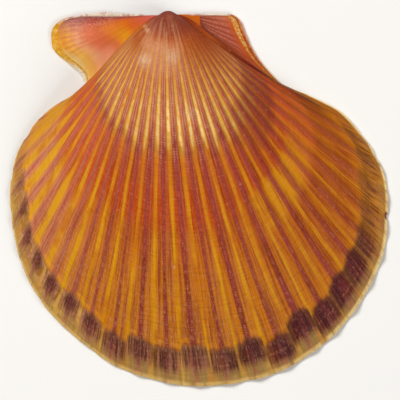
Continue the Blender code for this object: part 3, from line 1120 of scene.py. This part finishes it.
def change_ring(f, shade):
    """The thin maroon ring where the young colours change to the old ones."""
    ring = f.times(
        f.band(f.rib_growth, 0.4, 0.42, 0.012),
        f.rise(f.ragged_rib, 5.0, 8.0),
        f.rise(f.ragged_rib, 24.0, 19.0),
    )
    return f.blend(f.times(ring, f.rise(f.ribbons, 0.3, 0.55), 0.32), shade, MAROON)


def dark_beak(f, shade, left, right):
    """The youngest part, which is rusty at both sides and darker at the tip."""
    sides = f.add(right, f.times(left, f.rise(f.growth, 0.24, 0.17)))
    rusty = f.times(sides, f.rise(f.growth, 0.32, 0.16), 0.85)
    shade = f.blend(rusty, shade, f.blend(right, RUST, DEEP_RUST))
    tip = f.rise(f.growth, 0.15, 0.09)
    return f.blend(f.times(tip, 0.6), shade, f.blend(right, CHESTNUT, BRICK))


def disc_shade(f):
    """The ribbed disc, laid down from the broad colours of the flanks to the small worn spots and painted
    highlights.
    """
    right = f.rise(f.rib, 15.0, 25.0)
    left = f.rise(f.rib, 12.0, 4.0)
    shade = flank_shade(f, left)
    shade = fine_threads(f, shade, left)
    shade = groove_lines(f, shade, left, right)
    shade = crest_lines(f, shade, right)
    shade = f.blend(f.times(f.patch((21.0, 27.5), (0.36, 0.5), 1.5), 0.6), shade, CHESTNUT)
    shade = change_ring(f, shade)
    shade = margin_band(f, shade, left, right)
    # Painted glints along the older ribs.
    shade = painted_glint_dashes(f, shade)
    shade = dark_beak(f, shade, left, right)
    shade = flank_sides(f, shade)
    return worn_spots_and_beak_highlights(f, shade)


def front_ear_shade(f):
    """The front ear: rosy along the hinge, orange and coral across, peach and honey towards its edge."""
    ear = f.math("ABSOLUTE", f.ear)
    ragged_ear = f.add(ear, f.sway(f.ear_threads, 0.16))
    mottled_growth = f.add(f.ragged_growth, f.sway(f.patches, 0.2))
    across = [
        (0.05, ROSY),
        (0.2, CORAL),
        (0.3, BRIGHT_ORANGE),
        (0.44, WARM_ORANGE),
        (0.52, LIGHT_CORAL),
        (0.62, SALMON),
        (0.74, PALE_PEACH),
        (0.82, HONEY),
        (0.9, AMBER),
    ]
    shade = f.ramp(mottled_growth, across)
    glow = f.times(f.rise(ragged_ear, 0.62, 0.1), f.band(mottled_growth, 0.32, 0.42, 0.08))
    shade = f.blend(glow, shade, AMBER)
    low = f.times(f.rise(ragged_ear, 0.5, 0.2), f.rise(mottled_growth, 0.64, 0.82))
    low = f.times(low, 0.8)
    shade = f.blend(low, shade, f.blend(f.rise(mottled_growth, 0.78, 0.92), HONEY, BRIGHT_CREAM))
    shade = front_ear_riblets(f, shade, ear, mottled_growth)
    shade = front_ear_top(f, shade, ear, ragged_ear)
    lowest = f.rise(f.add(ear, f.sway(f.patches, 0.2)), 0.27, 0.03)
    strip = f.times(lowest, f.rise(mottled_growth, 0.44, 0.58))
    strip_shades = [(0.4, SALMON), (0.6, PEACH), (0.75, PEACH), (0.86, HONEY)]
    shade = f.blend(f.times(strip, 0.8), shade, f.ramp(f.growth, strip_shades))
    return front_ear_edge(f, shade, ear)


def front_ear_riblets(f, shade, ear, mottled_growth):
    """Reddish riblets on the outer half of the front ear."""
    riblets = f.rise(f.add(f.waves(ear, 2 * FRONT_EAR_RIBLETS), f.sway(f.ear_threads, 3.6)), 0.1, 1.1)
    riblets = f.times(
        riblets,
        f.rise(mottled_growth, 0.35, 0.7),
        f.rise(f.growth, 0.95, 0.87),
        f.rise(ear, 0.2, 0.45),
    )
    riblet_shade = f.ramp(ear, [(0.3, CORAL), (0.5, SALMON), (0.8, ROSY)])
    return f.blend(f.times(riblets, 0.55), shade, riblet_shade)


def front_ear_top(f, shade, ear, ragged_ear):
    """The rosy strip along the hinge line, and pale dust on the upper part of the ear."""
    top = f.rise(ragged_ear, 0.52, 0.82)
    shade = f.blend(f.times(top, 0.95), shade, f.blend(f.rise(f.growth, 0.62, 0.8), DUSTY_ROSE, DUSKY_PINK))
    dust = f.times(f.rise(f.growth, 0.25, 0.5), f.rise(ear, 0.25, 0.8), f.rise(f.grains, 0.46, 0.64))
    dust = f.times(dust, f.rise(f.growth, 0.95, 0.85), 0.6)
    return f.blend(dust, shade, f.blend(top, PEACH, PALE_ROSE))


def front_ear_edge(f, shade, ear):
    """The yellow outer strip of the front ear, with a thin pale growth line inside it and the worn notch."""
    outer = f.rise(f.ragged_growth, 0.925, 0.94)
    mottled = f.blend(f.rise(f.noise(f.spot, 1100.0), 0.42, 0.62), LEMON, PALE_GOLD)
    outer = f.times(outer, f.rise(f.add(ear, f.sway(f.patches, 0.2)), 0.95, 0.82))
    amber = f.times(f.rise(ear, 0.3, 0.8), f.rise(f.patches, 0.4, 0.6))
    shade = f.blend(outer, shade, f.blend(amber, mottled, AMBER))
    line = f.times(
        f.band(f.ragged_growth, 0.9, 0.922, 0.012),
        f.rise(ear, 0.7, 0.2),
        f.rise(f.ear_threads, 0.3, 0.55),
    )
    shade = f.blend(f.times(line, 0.75), shade, BRIGHT_CREAM)
    by_notch = f.rise(f.add(ear, f.sway(f.streaks, 0.2)), 0.34, 0.12)
    notch = f.times(by_notch, f.rise(f.ragged_growth, 0.945, 0.97))
    shade = f.blend(notch, shade, f.blend(f.rise(f.grains, 0.35, 0.5), LINEN, WHITISH))
    dark = f.times(
        f.band(f.ragged_growth, 0.955, 0.985, 0.008),
        f.band(ear, 0.3, 0.9, 0.1),
        f.rise(f.streaks, 0.4, 0.6),
    )
    return f.blend(f.times(dark, 0.5), shade, OCHRE)


def rear_ear_shade(f):
    """The rear ear: dull red with scaly rows, a smooth lower part, and a pale band inside its edge."""
    ear = f.math("ABSOLUTE", f.ear)
    across = [
        (0.05, CORAL),
        (0.3, DULL_RED),
        (0.5, ROSE_RED),
        (0.7, WARM_RED),
        (0.8, CORAL),
        (0.9, BRIGHT_ORANGE),
        (0.96, RED_ORANGE),
        (0.985, PEACH),
    ]
    shade = f.ramp(f.ragged_growth, across)
    shade = rear_ear_rows(f, shade, ear)
    pale = f.times(f.rise(ear, 0.75, 0.92), f.band(f.growth, 0.62, 0.84, 0.05))
    shade = f.blend(f.times(pale, 0.3), shade, PEACH)
    smooth = f.times(f.rise(ear, 0.42, 0.15), f.rise(f.growth, 0.3, 0.5))
    smooth_shades = [(0.5, RUST), (0.8, CORAL), (0.95, BRIGHT_ORANGE)]
    shade = f.blend(f.times(smooth, 0.85), shade, f.ramp(f.growth, smooth_shades))
    shade = rear_ear_band(f, shade, ear)
    beside_beak = f.rise(f.x, 0.4 * METRES_PER_MM, 0.1 * METRES_PER_MM)
    return f.blend(beside_beak, shade, BRIGHT_ORANGE)


def rear_ear_rows(f, shade, ear):
    """Rows of pale scales on the rear ear, with painted shade in the furrows between them."""
    beads = f.rise(f.noise(f.vector(f.times(ear, 20.0), f.times(f.growth, 60.0)), 1.0), 0.35, 0.6)
    scaly = f.times(f.rise(f.waves(ear, REAR_EAR_ROWS), 0.1, 0.9), beads, f.band(f.growth, 0.32, 0.78, 0.06))
    shade = f.blend(f.times(scaly, f.rise(ear, 0.2, 0.45), 0.9), shade, DUSTY_PINK)
    # Darker furrows between the rows: painted shade.
    painted_furrow_shade = f.times(
        f.rise(f.waves(ear, REAR_EAR_ROWS), 0.4, 0.0),
        f.band(f.growth, 0.3, 0.8, 0.06),
        f.rise(ear, 0.2, 0.45),
    )
    return f.blend(f.times(painted_furrow_shade, 0.5), shade, ROSEWOOD)


def rear_ear_band(f, shade, ear):
    """The grainy cream band inside the edge of the rear ear, the beads outside it and the worn lip, partly a
    painted highlight by the notch.
    """
    width = f.ramp(ear, [(0.0, 0.03), (0.4, 0.045), (0.7, 0.09)])
    outer_side = f.line(f.rise(ear, 0.3, 0.75), 0.03, 0.91)
    inwards = f.minus(outer_side, f.add(f.ragged_growth, f.sway(f.ear_threads, 0.03)))
    cream = f.times(f.rise(f.minus(inwards, width), 0.015, -0.015), f.rise(inwards, 0.0, 0.012))
    cream = f.times(
        cream,
        f.line(f.rise(f.grains, 0.42, 0.58), 0.7, 0.25),
        f.line(f.rise(ear, 0.1, 0.5), 0.4, 0.6),
    )
    shade = f.blend(cream, shade, f.blend(f.rise(f.specks, 0.4, 0.62), HONEY, BRIGHT_CREAM))
    beaded = f.times(f.band(f.ragged_growth, 0.945, 0.98, 0.01), f.rise(f.grains, 0.48, 0.6), 0.6)
    shade = f.blend(beaded, shade, HONEY)
    # Pale lip by the notch: partly painted highlight.
    lip = f.times(f.rise(f.growth, 0.97, 0.99), f.rise(ear, 0.35, 0.15))
    return f.blend(lip, shade, BRIGHT_CREAM)


def fine_relief(f):
    """Height of the fine relief of the outside, in millimetres."""
    wavering = f.add(f.rib, f.line(f.streaks, 0.08, 0.0))
    riblets = f.times(f.waves(wavering, RIBLETS_PER_RIB), f.rise(f.growth, 0.4, 0.8), FINE_RIBLET_HEIGHT)
    beads = f.times(f.waves(f.growth, BEAD_COUNT), f.rise(f.from_crest, 0.12, 0.04), BEAD_HEIGHT)
    wrinkles = f.times(f.lines, WRINKLE_HEIGHT)
    grain = f.times(f.specks, GRAIN_HEIGHT)
    return f.add(f.add(riblets, beads), f.add(wrinkles, grain))


def outside_finish(name, shade_of, line_strength):
    """The matt outside: its own colours, darkened along the fine growth lines and flecked with pale dust."""
    f = GrowthFinish(name)
    shade = shade_of(f)
    shade = f.blend(line_strength, shade, f.ramp(f.lines, [(0.3, 0.84), (0.55, 1.0)]), "MULTIPLY")
    shade = f.blend(f.times(f.rise(f.specks, 0.6, 0.72), 0.15), shade, ROSE_BEIGE)
    worn = f.times(f.rise(f.growth, 0.5, 0.15), 0.15)
    f.paint(shade, f.add(f.line(f.patches, 0.2, 0.32), worn))
    f.shader.inputs["Specular IOR Level"].default_value = DRY_GLOSS
    f.raise_by(fine_relief(f))
    return f.material


def inside_finish():
    """The glossy hollow: pale, with faint rays under the ribs, and the margin's band showing through."""
    f = GrowthFinish("shell_inside")
    outwards = [
        (0.05, SHELL_ROSE),
        (0.4, IVORY),
        (0.7, IVORY),
        (0.85, SHELL_PEACH),
        (0.9, PINK_TAN),
        (0.915, ROSEWOOD),
        (0.96, ROSEWOOD),
        (0.985, STRAW),
    ]
    shade = f.ramp(f.add(f.growth, f.sway(f.patches, 0.08)), outwards)
    rays = f.times(f.rise(f.add(f.from_crest, f.sway(f.threads, 0.3)), 0.3, 0.05), f.rise(f.growth, 0.3, 0.8))
    shade = f.blend(f.times(rays, 0.45), shade, DUSTY_PINK)
    scar = f.round_spot(*MUSCLE_SCAR)
    shade = f.blend(f.times(scar, 0.5), shade, CHALK)
    pit = f.times(f.blob(*LIGAMENT_PIT), f.rise(f.growth, 0.4, 0.2))
    shade = f.blend(pit, shade, BROWN)
    shade = f.blend(0.6, shade, f.ramp(f.lines, [(0.3, 0.9), (0.55, 1.0)]), "MULTIPLY")
    f.paint(shade, f.add(f.line(f.patches, 0.15, 0.16), f.times(scar, 0.15)))
    scar_floor = f.times(scar, -SCAR_DEPTH)
    wrinkles = f.times(f.lines, INSIDE_WRINKLE_HEIGHT)
    grain = f.times(f.specks, INSIDE_GRAIN_HEIGHT)
    f.raise_by(f.add(scar_floor, f.add(wrinkles, grain)))
    return f.material


def fringe_finish():
    """The worn scales on the hinge edge: pale, with shell pink and putty between."""
    f = Finish("worn_scales")
    spot = f.place()
    shade = f.blend(f.rise(f.noise(spot, 900.0), 0.35, 0.55), SHELL_PINK, IVORY)
    shade = f.blend(f.times(f.rise(f.noise(spot, 2400.0), 0.5, 0.66), 0.4), shade, PUTTY)
    f.paint(shade, f.line(f.noise(spot, 1500.0), 0.3, 0.4))
    f.raise_by(f.times(f.noise(spot, 4000.0), FRINGE_GRAIN_HEIGHT))
    return f.material


# ---------------------------------------------------------------- setting

# View from straight above, in millimetres
VIEW_WIDTH = 89.96
VIEW_CENTRE = (0.22, -0.45)
CAMERA_HEIGHT = 2500.0
SENSOR = 36.0

# Studio, in metres. A light has a name, a place, a size and a power in watts.
CAMERA_RANGE = (0.1, 10.0)
FLOOR_REACH = 1.5
FLOOR_DEPTH = 0.0001
FLOOR_GREY = colour(226, 224, 220)
FLOOR_ROUGHNESS = 0.9
SKY_WHITE = (1.0, 1.0, 1.0, 1.0)
SKY_STRENGTH = 0.18
LIGHTS = (
    ("key", (-0.45, 0.4, 0.7), 0.4, 8.8),
    ("fill", (0.55, -0.4, 0.55), 0.6, 4.5),
)


def camera():
    """The camera, high above the valve, so that it sees the valve almost without perspective."""
    data = bpy.data.cameras.new("camera")
    data.sensor_width = SENSOR
    data.lens = SENSOR * CAMERA_HEIGHT / VIEW_WIDTH
    data.clip_start, data.clip_end = CAMERA_RANGE
    made = in_scene("camera", data)
    made.location = Vector((*VIEW_CENTRE, CAMERA_HEIGHT)) * METRES_PER_MM
    bpy.context.scene.camera = made


def soft_light(name, place, size, power):
    """A square light that points at the middle of the valve."""
    data = bpy.data.lights.new(name, "AREA")
    data.size = size
    data.energy = power
    made = in_scene(name, data)
    made.location = place
    made.rotation_euler = (-Vector(place)).to_track_quat("-Z", "Y").to_euler()


def floor():
    """A plain pale floor just under the rim."""
    f = Finish("floor")
    f.shader.inputs["Base Color"].default_value = FLOOR_GREY
    f.shader.inputs["Roughness"].default_value = FLOOR_ROUGHNESS
    bm = bmesh.new()
    bmesh.ops.create_grid(bm, x_segments=1, y_segments=1, size=FLOOR_REACH)
    bmesh.ops.translate(bm, verts=bm.verts, vec=(0.0, 0.0, -FLOOR_DEPTH))
    in_scene("floor", as_mesh(bm, "floor", [f.material]))


def setting():
    """The studio: an even pale sky, two soft lights, the floor and the camera."""
    world = bpy.data.worlds.new("studio")
    world.use_nodes = True
    sky = world.node_tree.nodes["Background"]
    sky.inputs["Color"].default_value = SKY_WHITE
    sky.inputs["Strength"].default_value = SKY_STRENGTH
    bpy.context.scene.world = world
    bpy.context.scene.view_settings.view_transform = "Standard"
    for light in LIGHTS:
        soft_light(*light)
    floor()
    camera()


finishes = [
    outside_finish("disc", disc_shade, DISC_LINE_STRENGTH),
    outside_finish("front_ear", front_ear_shade, EAR_LINE_STRENGTH),
    outside_finish("rear_ear", rear_ear_shade, EAR_LINE_STRENGTH),
    inside_finish(),
]
shell = valve(finishes)
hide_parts("scallop_valve")
worn_scales = fringe_finish()
fringe("front_hinge_fringe", FRONT_FRINGE, worn_scales)
fringe("rear_hinge_fringe", REAR_FRINGE, worn_scales)
setting()
